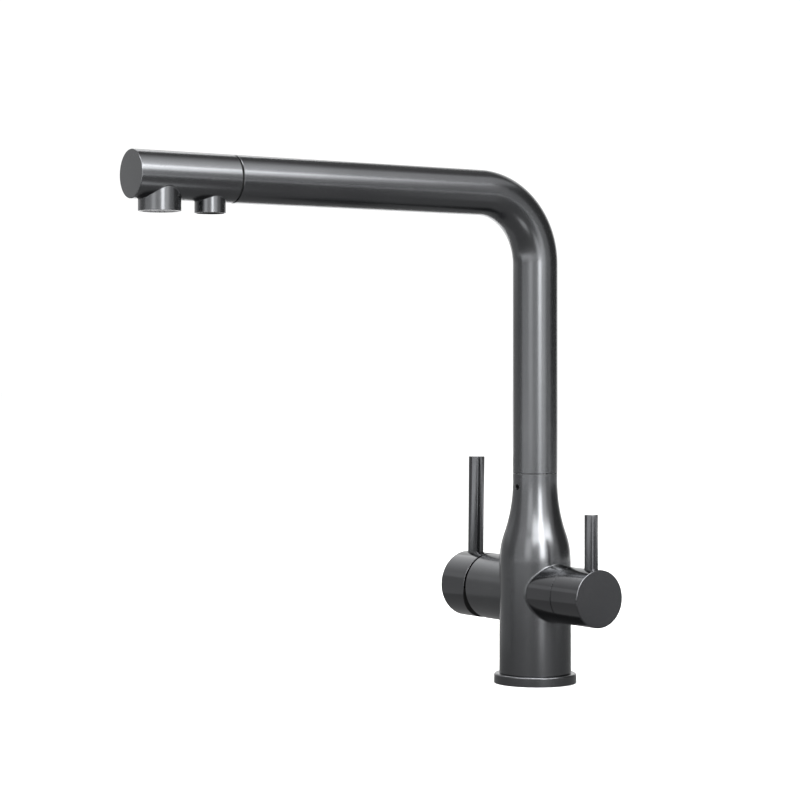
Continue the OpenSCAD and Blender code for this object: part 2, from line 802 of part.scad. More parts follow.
module filter_valve_body() {
    color(brass) filter_frame() difference() {
        union() {
            translate([0, 0, valve_u]) cylinder(r = valve_r - fit_gap, h = valve_seat_u - valve_u);
            translate([0, 0, valve_seat_u]) cylinder(r = hex_r, h = valve_face - valve_seat_u, $fn = 6);
        }
        translate([0, 0, window_u + window_h / 2]) outer_groove(valve_r, valve_r - window_depth, window_h);
        translate([0, 0, valve_u - cut]) cylinder(r = valve_bore_r, h = valve_bore_end - valve_u + cut);
        translate([0, 0, valve_bore_end - cut]) cylinder(r = spindle_r + run_gap, h = valve_face);
        for (turn = [0, 90]) rotate(turn) translate([-valve_r, -window_w / 2, window_u + window_rim])
            cube([2 * valve_r, window_w, window_h - 2 * window_rim]);
    }
}

module filter_valve_seal() {
    color(rubber) filter_frame() translate([0, 0, valve_floor])
        ring(valve_r - valve_seal_play, passage_r + 2, valve_seal_h);
}

// Two opposite quarter openings through a ceramic disc
module quarter_ports(height) {
    for (turn = [0, 180]) rotate(turn) intersection() {
        cylinder(r = valve_disc_r - port_rim, h = height);
        translate([port_web, port_web, 0]) cube([valve_r, valve_r, height]);
    }
}

module filter_fixed_disc() {
    color(ceramic) filter_frame() translate([0, 0, valve_disc_u]) difference() {
        cylinder(r = valve_disc_r, h = valve_disc_h);
        translate([0, 0, -cut]) quarter_ports(valve_disc_h + 2 * cut);
    }
}

module filter_turning_disc() {
    color(ceramic) filter_frame() translate([0, 0, turning_disc_u]) difference() {
        cylinder(r = valve_disc_r, h = turning_disc_h);
        translate([0, 0, -cut]) rotate(90) quarter_ports(turning_disc_h + 2 * cut);
    }
}

module filter_spindle() {
    color(brass) filter_frame() difference() {
        union() {
            translate([0, 0, spindle_u]) cylinder(r = valve_bore_r - run_gap, h = spindle_collar_h);
            translate([0, 0, spindle_u]) cylinder(r = spindle_r, h = spindle_end - spindle_u);
        }
        translate([0, 0, filter_ring_u])
            outer_groove(spindle_r, filter_groove_r, filter_ring_groove);
        translate([-valve_r, -drive_slot / 2, spindle_u - cut])
            cube([2 * valve_r, drive_slot, cut + drive_slot_h]);
    }
}

module filter_spindle_o_ring() {
    color(rubber) filter_frame() translate([0, 0, filter_ring_u])
        o_ring(filter_ring_centre, filter_ring_section);
}

module filter_knob() {
    color(gunmetal) filter_frame() difference() {
        translate([0, 0, filter_knob_u])
            rod(filter_r, filter_knob_length, foot = edge_round / 2, top = edge_round);
        difference() {
            translate([0, 0, filter_knob_u - cut])
                cylinder(r = filter_r - filter_knob_wall, h = filter_recess_u - filter_knob_u + cut);
            translate([0, 0, filter_hub_u]) cylinder(r = filter_hub_r, h = filter_face - filter_hub_u);
        }
        translate([0, 0, filter_knob_u])
            cylinder(r = spindle_r + fit_gap, h = spindle_end + socket_end - filter_knob_u);
        filter_lever_place() {
            cylinder(r = filter_lever_r + fit_gap, h = filter_r);
            translate([0, 0, -stud_reach]) cylinder(r = filter_stud_r + fit_gap, h = stud_reach + cut);
        }
        translate([0, 0, filter_screw_u]) rotate([0, -90, 0]) translate([0, 0, spindle_r])
            cylinder(r = filter_screw_r + fit_gap, h = filter_r);
    }
}

module filter_lever() {
    color(gunmetal) filter_frame() filter_lever_place()
        lever(filter_lever_r, filter_lever_reach - filter_r + seat_depth, filter_stud_r);
}

module filter_knob_screw() {
    color(steel) filter_frame() translate([0, 0, filter_screw_u]) rotate([0, -90, 0])
        translate([0, 0, spindle_r + fit_gap])
            socket_screw(filter_screw_r, filter_screw_r - tip_step, tip_length, filter_screw_length);
}

module spout_tube() {
    color(gunmetal) difference() {
        spout_path(tube_r, tube_foot, arm_end);
        spout_path(tube_bore_r, tube_foot - cut, arm_end + cut);
    }
}

module swivel_insert() {
    color(brass) difference() {
        union() {
            upright(0, 0, tube_foot, tube_foot + insert_lap, tube_bore_r - fit_gap);
            upright(0, 0, insert_foot, tube_foot + cut, swivel_r - run_gap);
        }
        upright(0, 0, insert_foot - cut, tube_foot + insert_lap + cut, insert_bore_r);
        translate([0, 0, screw_z]) outer_groove(swivel_r, screw_groove_r, screw_groove_h);
        for (drop = ring_drops) translate([0, 0, neck_top - drop])
            outer_groove(swivel_r, ring_groove_r, ring_groove_h);
        translate([0, 0, neck_top - glide_drop])
            outer_groove(swivel_r, glide_groove_r, glide_h + glide_play);
    }
}

module swivel_o_rings() {
    color(rubber) for (drop = ring_drops) translate([0, 0, neck_top - drop])
        o_ring(ring_centre_r, ring_section);
}

module swivel_glide_ring() {
    color(white_plastic) translate([0, 0, neck_top - glide_drop - glide_h / 2])
        ring(swivel_r - ring_float, glide_groove_r + fit_gap, glide_h);
}

module filter_tube() {
    tube_end = filter_outlet_s - elbow_r + tube_plug;
    color(white_plastic) difference() {
        spout_path(filter_tube_r, tube_seat_z + foot_play, tube_end);
        spout_path(filter_way_r, tube_seat_z - cut, tube_end + cut);
    }
}

module nose_adapter() {
    color(brass) arm_frame() difference() {
        union() {
            translate([0, 0, arm_end - adapter_lap]) cylinder(r = tube_bore_r - fit_gap, h = adapter_lap);
            translate([0, 0, arm_end - cut])
                cylinder(r = adapter_nose_r, h = nose_joint + adapter_reach + cut);
        }
        translate([0, 0, arm_end - adapter_lap - cut])
            cylinder(r = adapter_bore_r, h = adapter_lap + nose_joint + adapter_reach + 2 * cut);
    }
}

module nose_seal() {
    color(rubber) arm_frame() translate([0, 0, arm_end + seal_play])
        ring(adapter_nose_r + seal_height, adapter_nose_r + fit_gap, nose_joint - 2 * seal_play);
}

// Upright boss under the nose, from its rim up to the arm's centre line
module boss(s, r, rim_z) {
    translate([0, -s, rim_z]) rod(r, spout_height - rim_z, foot = edge_round / 2);
}

module nose_housing() {
    color(gunmetal) difference() {
        union() {
            arm_frame() translate([0, 0, nose_start])
                rod(tube_r, spout_reach - nose_start, foot = edge_round / 2, top = edge_round);
            boss(mixed_outlet_s, mixed_outlet_r, mixed_rim_z);
            boss(filter_outlet_s, filter_outlet_r, filter_rim_z);
        }
        difference() {
            arm_frame() translate([0, 0, nose_start - cut])
                cylinder(r = nose_bore_r, h = spout_reach - nose_end_wall - nose_start + cut);
            upright(0, -mixed_outlet_s, mixed_rim_z, ledge_z + ledge_h, mixed_outlet_r);
            upright(0, -filter_outlet_s, filter_rim_z, filter_pad_z, filter_outlet_r);
        }
        upright(0, -mixed_outlet_s, mixed_rim_z - cut, ledge_z, mixed_bore_r);
        upright(0, -mixed_outlet_s, ledge_z - cut, ledge_z + ledge_h + cut, mixed_bore_r - ledge_w);
        upright(0, -filter_outlet_s, filter_rim_z - cut, filter_pad_z + cut, filter_bore_r);
    }
}

module filter_elbow() {
    foot = filter_rim_z + elbow_sink;
    color(white_plastic) difference() {
        upright(0, -filter_outlet_s, foot, spout_height + elbow_rise, elbow_r);
        upright(0, -filter_outlet_s, foot - cut, spout_height + elbow_way_r, elbow_way_r);
        arm_frame() {
            translate([0, 0, filter_outlet_s - elbow_r - cut])
                cylinder(r = filter_tube_r + fit_gap, h = tube_plug + socket_end + cut);
            translate([0, 0, filter_outlet_s - elbow_r]) cylinder(r = filter_way_r, h = elbow_r);
        }
    }
}

module filter_outlet_insert() {
    foot = filter_rim_z + elbow_sink - insert_h;
    color(black_plastic) translate([0, -filter_outlet_s, foot]) difference() {
        cylinder(r = elbow_r, h = insert_h);
        translate([0, 0, -cut]) hole_field(2, insert_pitch, insert_hole_r, insert_h + 2 * cut);
    }
}

// Round holes in rings of six, twelve and so on, about one in the middle
module hole_field(rings, pitch, r, height) {
    cylinder(r = r, h = height, $fn = 16);
    for (level = [1:rings], step = [0:6 * level - 1])
        rotate(60 * step / level) translate([level * pitch, 0, 0]) cylinder(r = r, h = height, $fn = 16);
}

module aerator_ring() {
    color(white_plastic) translate([0, -mixed_outlet_s, mixed_rim_z + aerator_sink])
        ring(aerator_in_r + aerator_wall, aerator_in_r, aerator_h);
}

module aerator_grille() {
    color(white_plastic) translate([0, -mixed_outlet_s, grille_z]) difference() {
        cylinder(r = aerator_in_r - fit_gap, h = grille_h);
        translate([0, 0, -cut]) hole_field(3, grille_pitch, grille_hole_r, grille_h + 2 * cut);
    }
}

module aerator_core() {
    color(white_plastic) translate([0, -mixed_outlet_s, grille_z + grille_h]) difference() {
        cylinder(r = aerator_in_r - fit_gap, h = aerator_h - grille_sink - grille_h);
        translate([0, 0, -cut]) hole_field(2, core_pitch, core_hole_r, aerator_h);
    }
}

module aerator_washer() {
    color(rubber) translate([0, -mixed_outlet_s, ledge_z - aerator_washer_h])
        ring(mixed_bore_r - fit_gap, mixed_bore_r - ledge_w, aerator_washer_h);
}

body_casting();
inlet_block();
mixer_barrel();
filter_barrel();
foot_ring();
foot_seal();
swivel_washer();
swivel_screw();
filter_socket();
socket_o_ring();
cartridge_case();
cartridge_base();
cartridge_seals();
cartridge_fixed_disc();
cartridge_nut();
filter_valve_body();
filter_valve_seal();
filter_fixed_disc();
spout_tube();
swivel_insert();
swivel_o_rings();
swivel_glide_ring();
filter_tube();
nose_adapter();
nose_seal();
nose_housing();
filter_elbow();
filter_outlet_insert();
aerator_ring();
aerator_grille();
aerator_core();
aerator_washer();
cartridge_rotor();
cartridge_pin();
cartridge_sliding_disc();
disc_carrier();
cartridge_stem();
mixer_knob();
mixer_lever();
mixer_knob_screw();
filter_spindle();
filter_turning_disc();
filter_spindle_o_ring();
filter_knob();
filter_lever();
filter_knob_screw();
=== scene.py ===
"""Kitchen mixer tap with a filtered water outlet, dressed in a dark gunmetal coating.

The spout points along -Y, the filter handle is on the +X side and the mixer handle on the -X side.
The tap's sizes are in millimetres, the studio's in metres, as Blender's own are.
"""

import json
import math
from typing import NamedTuple

import bmesh
import bpy
from mathutils import Matrix, Quaternion, Vector

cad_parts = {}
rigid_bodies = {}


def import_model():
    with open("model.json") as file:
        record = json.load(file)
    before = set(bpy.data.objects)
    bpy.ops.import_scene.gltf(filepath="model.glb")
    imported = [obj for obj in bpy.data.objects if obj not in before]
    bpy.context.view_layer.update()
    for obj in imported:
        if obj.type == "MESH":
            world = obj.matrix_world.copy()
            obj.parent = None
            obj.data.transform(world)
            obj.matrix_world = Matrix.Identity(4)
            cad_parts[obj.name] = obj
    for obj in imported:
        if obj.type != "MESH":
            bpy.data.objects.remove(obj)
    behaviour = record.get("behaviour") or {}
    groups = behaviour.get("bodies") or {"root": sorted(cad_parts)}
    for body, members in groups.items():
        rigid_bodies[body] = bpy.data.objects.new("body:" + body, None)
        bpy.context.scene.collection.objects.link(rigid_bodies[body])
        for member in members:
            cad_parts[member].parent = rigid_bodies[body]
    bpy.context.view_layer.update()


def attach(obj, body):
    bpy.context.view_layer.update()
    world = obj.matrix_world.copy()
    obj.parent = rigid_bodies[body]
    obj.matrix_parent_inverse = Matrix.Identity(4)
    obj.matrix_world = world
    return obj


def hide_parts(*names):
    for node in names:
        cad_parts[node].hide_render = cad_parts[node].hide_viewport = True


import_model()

MM = 0.001

# Edges and fillets
EDGE = 0.4
FINE_EDGE = 0.2
FACE_EDGE = 0.55
FOOT_EDGE = 1.0
SEAM_EDGE = 0.1
SEAT_EDGE = 0.4
BARREL_FILLET = 0.8
BARREL_HOLE_EDGE = 0.3
SCREW_HOLE_EDGE = 0.15
BOSS_FILLET = 0.45

# Play round a piece that stands in another
FIT = 0.05

# Body and foot, heights above the worktop
FOOT_H = 6.2
FOOT_R = 25.75
BODY_R = 22.5
BLOCK_R = 20.5
BLOCK_TOP = 22.0
SHOULDER_FOOT = 76.0
SHOULDER_TOP = 126.5
SHOULDER_SPLIT = 0.65
NECK_TOP = 131.3
WASHER_R = 12.8
WASHER_SINK = 1.2
SWIVEL_R = 11.0
SWIVEL_FLOOR = 95.3
SCREW_Z = 122.9
SCREW_HOLE_R = 1.8
SCREW_HOLE_FLOOR = SWIVEL_R + 0.3

# Windows in the body's grid: the barrels' from low to high, the screw hole's to either side of its middle
BARREL_BAND_LOW = 30.6
BARREL_BAND_HIGH = 84.0
SCREW_BAND = 3.0

# Side barrels and handles, with the barrels' root and the bay's floor as distances from the body's axis
AXIS_Z = 57.3
BARREL_ROOT = 5.5
BAY_FLOOR = 14.0
SEAT_DEPTH = 1.5
KNOB_SCREW_FLOOR = 4.0
PORT_MARGIN = 2.0
TIP_ANGLE = 18.0
RELIEF_DROP = 1.0

# Spout, with distances from the body's axis for the places along its arm
TUBE_R = 14.0
TUBE_WALL = 1.2
TUBE_FOOT = 131.5
BEND_R = 43.0
ARM_Z = 305.5
ARM_END = 216.9
SEAL_R = 13.2
SEAL_BORE_R = 12.8
SEAL_PLAY = 0.03
NOSE_START = 218.1
NOSE_BORE_R = 12.4
NOSE_BORE_END = NOSE_START + 5
REACH = 282.4
BOSS_RISE = 2.5

# Aerator's ring in the wide outlet, with heights above the outlet's rim and a pitch in columns
AERATOR_R = 10.7
AERATOR_BORE_R = 9.4
RING_FOOT = 0.2
NOTCH_TOP = 1.0
RING_TOP = 10.0
NOTCH_PITCH = 4

# Columns round the axis of a piece
COLUMNS = 128
HANDLE_COLUMNS = 160
LEVER_COLUMNS = 64
RING_COLUMNS = 96

# Slack of the tests that tell on which surface, or in which hollow, a point lies
ON_SIDE = 0.002
ON_END = 0.001
ON_CUT = 0.01
BY_WALL = 0.05
BY_RIM = 0.1

UP = Matrix.Identity(4)
TO_FILTER = Matrix.Translation((0, 0, AXIS_Z)) @ Matrix.Rotation(math.pi / 2, 4, "Y")
TO_MIXER = Matrix.Translation((0, 0, AXIS_Z)) @ Matrix.Rotation(-math.pi / 2, 4, "Y")
ALONG_ARM = Matrix.Translation((0, 0, ARM_Z)) @ Matrix.Rotation(math.pi / 2, 4, "X")


class Side(NamedTuple):
    """One side barrel with its knob and lever; towards is 1 on the +X side and -1 on the other.

    Names that end in _u are distances from the body's axis, and lever_lean is in degrees."""
    name: str
    place: Matrix
    towards: int
    radius: float
    barrel_end_u: float
    mouth_r: float
    mouth_floor_u: float
    bay_r: float
    knob_start_u: float
    knob_face_u: float
    knob_wall: float
    recess_u: float
    hub_u: float
    hub_r: float
    screw_u: float
    screw_r: float
    lever_u: float
    lever_r: float
    lever_tip_z: float
    lever_lean: float


MIXER = Side(
    "mixer", TO_MIXER, -1, radius=21.0,
    barrel_end_u=46.4, mouth_r=19.0, mouth_floor_u=41.0, bay_r=17.7,
    knob_start_u=48.3, knob_face_u=73.8, knob_wall=2.8, recess_u=57.5, hub_u=51.5, hub_r=8.5,
    screw_u=60.0, screw_r=2.5,
    lever_u=64.5, lever_r=5.15, lever_tip_z=140.2, lever_lean=1.0,
)
FILTER = Side(
    "filter", TO_FILTER, 1, radius=17.7,
    barrel_end_u=38.4, mouth_r=14.5, mouth_floor_u=34.0, bay_r=12.0,
    knob_start_u=39.0, knob_face_u=64.8, knob_wall=2.4, recess_u=50.7, hub_u=42.0, hub_r=8.0,
    screw_u=53.1, screw_r=2.0,
    lever_u=56.7, lever_r=4.2, lever_tip_z=108.0, lever_lean=0.0,
)

# Plane to which the mixer knob's inner rim is cut back, so that the knob can tip outwards
RELIEF_HINGE = Vector((-MIXER.knob_start_u, 0, AXIS_Z - RELIEF_DROP))
RELIEF_NORMAL = Vector((math.cos(math.radians(TIP_ANGLE)), 0, -math.sin(math.radians(TIP_ANGLE))))


class Outlet(NamedTuple):
    """One boss under the nose with its bore, at a distance s from the body's axis.

    Its window in the nose's grid reaches from start_s to end_s, and its bore ends at top_z."""
    s: float
    start_s: float
    end_s: float
    radius: float
    bore_r: float
    chamfer: float
    rim_z: float
    top_z: float


FILTERED = Outlet(s=231.8, start_s=220.0, end_s=246.3, radius=9.0,
                  bore_r=6.6, chamfer=1.5, rim_z=285.2, top_z=299.0)
MIXED = Outlet(s=264.2, start_s=246.3, end_s=280.0, radius=12.25,
               bore_r=10.75, chamfer=0.0, rim_z=285.1, top_z=296.5)


def spread(start, end, steps):
    """Evenly spaced values from start to end, both included."""
    return [start + (end - start) * i / steps for i in range(steps + 1)]


def corner(h, r, turn_h, turn_r, size, steps=4):
    """Quarter round on an outline's corner at (h, r).

    turn_h and turn_r, each 1 or -1, point from the corner into the material."""
    centre_h, centre_r = h + turn_h * size, r + turn_r * size
    points = []
    for i in range(steps + 1):
        a = math.pi / 2 * i / steps
        points.append((centre_h - turn_h * size * math.cos(a), centre_r - turn_r * size * math.sin(a)))
    return points


def body_radius(z):
    """Radius of the bottle-shaped body at a height: straight, two tangent arcs, straight."""
    length = SHOULDER_TOP - SHOULDER_FOOT
    turn = 2 * math.atan((BODY_R - TUBE_R) / length)
    radii = length / math.sin(turn)
    inward, outward = SHOULDER_SPLIT * radii, (1 - SHOULDER_SPLIT) * radii
    if z <= SHOULDER_FOOT:
        return BODY_R
    if z >= SHOULDER_TOP:
        return TUBE_R
    if z < SHOULDER_FOOT + outward * math.sin(turn):
        return BODY_R - outward + math.sqrt(outward ** 2 - (z - SHOULDER_FOOT) ** 2)
    return TUBE_R + inward - math.sqrt(inward ** 2 - (SHOULDER_TOP - z) ** 2)


def on_round(place, radius_at, start, end):
    """Finder of normals on a surface of revolution about a placed z axis; it gives None off the surface."""
    back, turn = place.inverted(), place.to_3x3()
    step = 0.01

    def normal(point):
        local = back @ point
        r = math.hypot(local.x, local.y)
        if abs(r - radius_at(local.z)) > ON_SIDE or not start - ON_END < local.z < end + ON_END:
            return None
        slope = (radius_at(local.z + step) - radius_at(local.z - step)) / (2 * step)
        return (turn @ Vector((local.x / r, local.y / r, -slope))).normalized()

    return normal


def on_end(place, height):
    """Finder of normals on the flat end at a height along a placed z axis; it gives None off the end."""
    back, turn = place.inverted(), place.to_3x3()

    def normal(point):
        return turn @ Vector((0, 0, 1)) if abs((back @ point).z - height) < ON_END else None

    return normal


def set_normals(mesh, surfaces):
    """Gives each corner the normal of the surface it lies on, where that is close to its face's own."""
    closest = math.cos(math.radians(25))
    found = [[n for n in (normal(v.co / MM) for normal in surfaces) if n] for v in mesh.vertices]
    normals = []
    for face in mesh.polygons:
        for loop in face.loop_indices:
            best = max(found[mesh.loops[loop].vertex_index], key=face.normal.dot, default=None)
            if best and best.dot(face.normal) > closest:
                normals.append(best)
            else:
                normals.append(mesh.corner_normals[loop].vector.copy())
    mesh.normals_split_custom_set(normals)


def finish_mesh(bm, name, material, in_painted_shade=None, surfaces=()):
    """Turns the mesh under construction, in millimetres, into a smooth shaded object.

    The mask argument tells by a face's centre whether the face lies inside a recess, bay or bore; such
    faces get a near black material as painted shade.
    surfaces are finders from on_round and on_end for the surfaces whose true normals are used."""
    sharp = math.radians(35)
    bmesh.ops.remove_doubles(bm, verts=bm.verts, dist=1e-4)
    bmesh.ops.recalc_face_normals(bm, faces=bm.faces)
    for face in bm.faces:
        face.smooth = True
        if in_painted_shade and in_painted_shade(face.calc_center_median()):
            face.material_index = 1
    for edge in bm.edges:
        edge.smooth = edge.calc_face_angle(0) < sharp
    bmesh.ops.scale(bm, vec=(MM, MM, MM), verts=bm.verts)
    mesh = bpy.data.meshes.new(name)
    bm.to_mesh(mesh)
    bm.free()
    piece = bpy.data.objects.new(name, mesh)
    bpy.context.scene.collection.objects.link(piece)
    if surfaces:
        set_normals(mesh, surfaces)
    else:
        weigh = piece.modifiers.new("flat_faces", "WEIGHTED_NORMAL")
        weigh.keep_sharp = True
    mesh.materials.append(material)
    # Second slot: painted shade for the faces inside hollows
    if in_painted_shade:
        mesh.materials.append(painted_inside_shade)
    return piece


def within(place, radius, start, end):
    """Test for points inside a cylinder about a placed local z axis, from start to end along it."""
    back = place.inverted()

    def test(point):
        local = back @ point
        return math.hypot(local.x, local.y) < radius and start < local.z < end

    return test


def add_face(bm, corners):
    """Adds a face, each corner once, unless its corners have run together to a line."""
    unique = list(dict.fromkeys(corners))
    if len(unique) > 2:
        bm.faces.new(unique)


def bridge(bm, loops):
    """Joins each closed loop of vertices to the next."""
    for one, two in zip(loops, loops[1:]):
        for k in range(len(one)):
            m = (k + 1) % len(one)
            add_face(bm, [one[k], one[m], two[m], two[k]])


class Port(NamedTuple):
    """A round hole or boss whose axis crosses the turning axis of a turned piece at a right angle.

    Its window in the grid reaches half columns to either side of its column, and from low to high.
    tail lists the (radius, distance from the turning axis) of its walls, from its edge on."""
    column: int
    half: int
    low: float
    high: float
    centre: float
    radius: float
    edge: float
    outward: bool
    tail: list


def turned(bm, outline, place, columns=COLUMNS, ports=(), radius_at=None):
    """Adds a surface of revolution: outline is a list of (height, radius), place puts local z on its axis.

    Each port replaces the cells in its window by rings of quads that run from the hole or boss out to the
    grid. radius_at gives the outer wall's radius at a height."""
    rows = len(outline)
    # Rows of an end or a bore, which is much narrower than the middle row, can't border a window
    outer_rows = [j for j in range(rows) if outline[j][1] >= 0.6 * outline[rows // 2][1]]

    def nearest_row(height):
        return min(outer_rows, key=lambda j: abs(outline[j][0] - height))

    windows = []
    for port in ports:
        first, last = sorted((nearest_row(port.low), nearest_row(port.high)))
        windows.append((port, first, last))

    def away(i, port):
        """Columns from a port's middle to column i, the short way round."""
        return (i - port.column + columns // 2) % columns - columns // 2

    def left_out(i, j):
        return any(first < j < last and abs(away(i, port)) < port.half for port, first, last in windows)

    def covered(i, j):
        for port, first, last in windows:
            if first <= j < last and -port.half <= away(i, port) < port.half:
                return True
        return False

    grid = {}
    for j, (h, r) in enumerate(outline):
        if r < 1e-9:
            grid[j] = bm.verts.new(place @ Vector((0, 0, h)))
            continue
        for i in range(columns):
            if not left_out(i, j):
                a = 2 * math.pi * i / columns
                grid[i, j] = bm.verts.new(place @ Vector((r * math.cos(a), r * math.sin(a), h)))

    def vertex(i, j):
        return grid[j] if outline[j][1] < 1e-9 else grid[i % columns, j]

    for j in range(rows - 1):
        for i in range(columns):
            if not covered(i, j):
                add_face(bm, [vertex(i, j), vertex(i + 1, j), vertex(i + 1, j + 1), vertex(i, j + 1)])

    for port, first, last in windows:
        add_port(bm, outline, grid, place, columns, port, first, last, radius_at)


def add_port(bm, outline, grid, place, columns, port, first, last, radius_at):
    """Fills a port's window in the grid with rings, its rounded edge and its walls."""
    rings, crowding, edge_steps = 8, 0.85, 4
    step = 2 * math.pi / columns
    angle = step * port.column
    out = Vector((math.cos(angle), math.sin(angle), 0))
    across = Vector((-math.sin(angle), math.cos(angle), 0))

    # The window's border, once round, and the angle about the port's axis at which each point's line ends
    upper, lower = (last, first) if outline[last][0] > outline[first][0] else (first, last)
    down = 1 if lower > upper else -1
    border = [(i, upper) for i in range(-port.half, port.half)]
    border += [(port.half, j) for j in range(upper, lower, down)]
    border += [(i, lower) for i in range(port.half, -port.half, -1)]
    border += [(-port.half, j) for j in range(lower, upper, -down)]
    width = outline[upper][1] * math.sin(min(math.pi / 2, step * port.half))
    bend = math.atan2(width, (port.high - port.low) / 2)
    tall = last - first
    turns = [bend * i / port.half for i in range(-port.half, port.half)]
    turns += [bend + (math.pi - 2 * bend) * i / tall for i in range(tall)]
    turns += [math.pi - bend + bend * i / port.half for i in range(2 * port.half)]
    turns += [math.pi + bend + (math.pi - 2 * bend) * i / tall for i in range(tall)]

    def on_host(turn, radius):
        """Angle and height on the turned piece where a cylinder about the port's axis meets it."""
        h = port.centre + radius * math.cos(turn)
        y = radius * math.sin(turn)
        return math.atan2(y, math.sqrt(max(radius_at(h) ** 2 - y ** 2, 0))), h

    def host_point(spot):
        a, h = spot
        r = radius_at(h)
        return out * (r * math.cos(a)) + across * (r * math.sin(a)) + Vector((0, 0, h))

    def port_point(turn, radius, reach):
        flat = out * reach + across * (radius * math.sin(turn))
        return flat + Vector((0, 0, port.centre + radius * math.cos(turn)))

    loops = [[grid[(port.column + i) % columns, j] for i, j in border]]
    for k in range(1, rings + 1):
        share = (k / rings) ** crowding
        loop = []
        for (i, j), turn in zip(border, turns):
            a0, h0 = i * step, outline[j][0]
            a1, h1 = on_host(turn, port.radius + port.edge)
            spot = a0 + (a1 - a0) * share, h0 + (h1 - h0) * share
            loop.append(bm.verts.new(place @ host_point(spot)))
        loops.append(loop)
    way = 1 if port.outward else -1
    for k in range(1, edge_steps + 1):
        t = k / edge_steps
        loop = []
        for turn in turns:
            start = host_point(on_host(turn, port.radius + port.edge))
            middle = host_point(on_host(turn, port.radius))
            end = middle + out * way * port.edge
            point = start * (1 - t) ** 2 + middle * 2 * t * (1 - t) + end * t ** 2
            loop.append(bm.verts.new(place @ point))
        loops.append(loop)
    for radius, reach in port.tail:
        if radius < 1e-9:
            tip = bm.verts.new(place @ port_point(0, 0, reach))
            loops.append([tip] * len(turns))
        else:
            loops.append([bm.verts.new(place @ port_point(turn, radius, reach)) for turn in turns])
    bridge(bm, loops)


class Nodes:
    """Small helper that adds shader nodes and links them."""

    def __init__(self, material):
        material.use_nodes = True
        self.tree = material.node_tree
        self.shader = self.tree.nodes["Principled BSDF"]
        self.place = self.add("ShaderNodeTexCoord").outputs["Object"]

    def add(self, kind, **sockets):
        node = self.tree.nodes.new(kind)
        for name, value in sockets.items():
            node.inputs[name.replace("_", " ")].default_value = value
        return node

    def link(self, source, target):
        self.tree.links.new(source, target)

    def noise(self, scale, detail, stretch=None):
        """Noise with about `scale` features to the metre, stretched where wanted."""
        node = self.add("ShaderNodeTexNoise", Scale=scale, Detail=detail)
        if stretch:
            mapping = self.add("ShaderNodeMapping", Scale=stretch)
            self.link(self.place, mapping.inputs["Vector"])
            self.link(mapping.outputs["Vector"], node.inputs["Vector"])
        else:
            self.link(self.place, node.inputs["Vector"])
        return node.outputs["Fac"]

    def between(self, source, low, high, start=0.3, end=0.7):
        """Maps a noise value to the range from low to high."""
        node = self.add("ShaderNodeMapRange", From_Min=start, From_Max=end, To_Min=low, To_Max=high)
        self.link(source, node.inputs["Value"])
        return node.outputs["Result"]

    def shades(self, source, dark, light):
        """Colour that wanders between two shades."""
        node = self.add("ShaderNodeValToRGB")
        node.color_ramp.elements[0].position = 0.3
        node.color_ramp.elements[0].color = (*dark, 1)
        node.color_ramp.elements[1].position = 0.7
        node.color_ramp.elements[1].color = (*light, 1)
        self.link(source, node.inputs["Fac"])
        return node.outputs["Color"]

    def bumps(self, source, depth, strength=0.5):
        """Shallow bumps of a depth in metres."""
        node = self.add("ShaderNodeBump", Strength=strength, Distance=depth)
        self.link(source, node.inputs["Height"])
        return node.outputs["Normal"]


def surface(name, dark, light, rough, metallic=0.0, cloud=30, grain=1500, depth=0.00002, stretch=None,
            **sockets):
    """Material with cloudy shades, a fine grain in its roughness and shallow bumps."""
    material = bpy.data.materials.new(name)
    nodes = Nodes(material)
    shader = nodes.shader
    shader.inputs["Metallic"].default_value = metallic
    for socket, value in sockets.items():
        shader.inputs[socket.replace("_", " ")].default_value = value
    nodes.link(nodes.shades(nodes.noise(cloud, 3), dark, light), shader.inputs["Base Color"])
    fine = nodes.noise(grain, 4, stretch)
    nodes.link(nodes.between(fine, *rough), shader.inputs["Roughness"])
    nodes.link(nodes.bumps(fine, depth), shader.inputs["Normal"])
    return material


# Each material's name, its dark and light shade, its range of roughness and how metallic it is
satin = surface("satin_gunmetal_coat", (0.112, 0.115, 0.120), (0.124, 0.127, 0.132), (0.22, 0.25), 1.0,
                grain=2600, depth=0.0000005)
gloss = surface("gloss_gunmetal_coat", (0.094, 0.096, 0.101), (0.104, 0.106, 0.111), (0.11, 0.14), 1.0,
                grain=2600, depth=0.0000003)
brass = surface("raw_brass", (0.62, 0.42, 0.16), (0.78, 0.56, 0.25), (0.22, 0.42), 1.0, grain=900)
steel = surface("brushed_steel", (0.50, 0.50, 0.51), (0.60, 0.60, 0.60), (0.22, 0.38), 1.0,
                stretch=(1, 1, 12))
rubber = surface("black_rubber", (0.006, 0.006, 0.006), (0.011, 0.011, 0.011), (0.55, 0.8), grain=700,
                 Specular_IOR_Level=0.15)
ceramic = surface("white_ceramic", (0.74, 0.73, 0.70), (0.82, 0.81, 0.78), (0.08, 0.2), grain=500)
cartridge_grey = surface("cartridge_plastic_grey", (0.10, 0.11, 0.13), (0.14, 0.15, 0.17), (0.35, 0.5))
glide_white = surface("glide_plastic_white", (0.72, 0.72, 0.70), (0.80, 0.80, 0.78), (0.35, 0.5))
dark_moulding = surface("dark_moulded_plastic", (0.018, 0.018, 0.019), (0.03, 0.03, 0.031), (0.4, 0.55))
silver_moulding = surface("silver_moulded_plastic", (0.50, 0.51, 0.52), (0.60, 0.61, 0.62), (0.25, 0.4),
                          0.6)
# Near black painted shade for metal parts deep in gaps and screw holes
painted_shade_metal = surface("blackened_metal", (0.020, 0.020, 0.021), (0.032, 0.032, 0.033), (0.4, 0.55), 1.0)
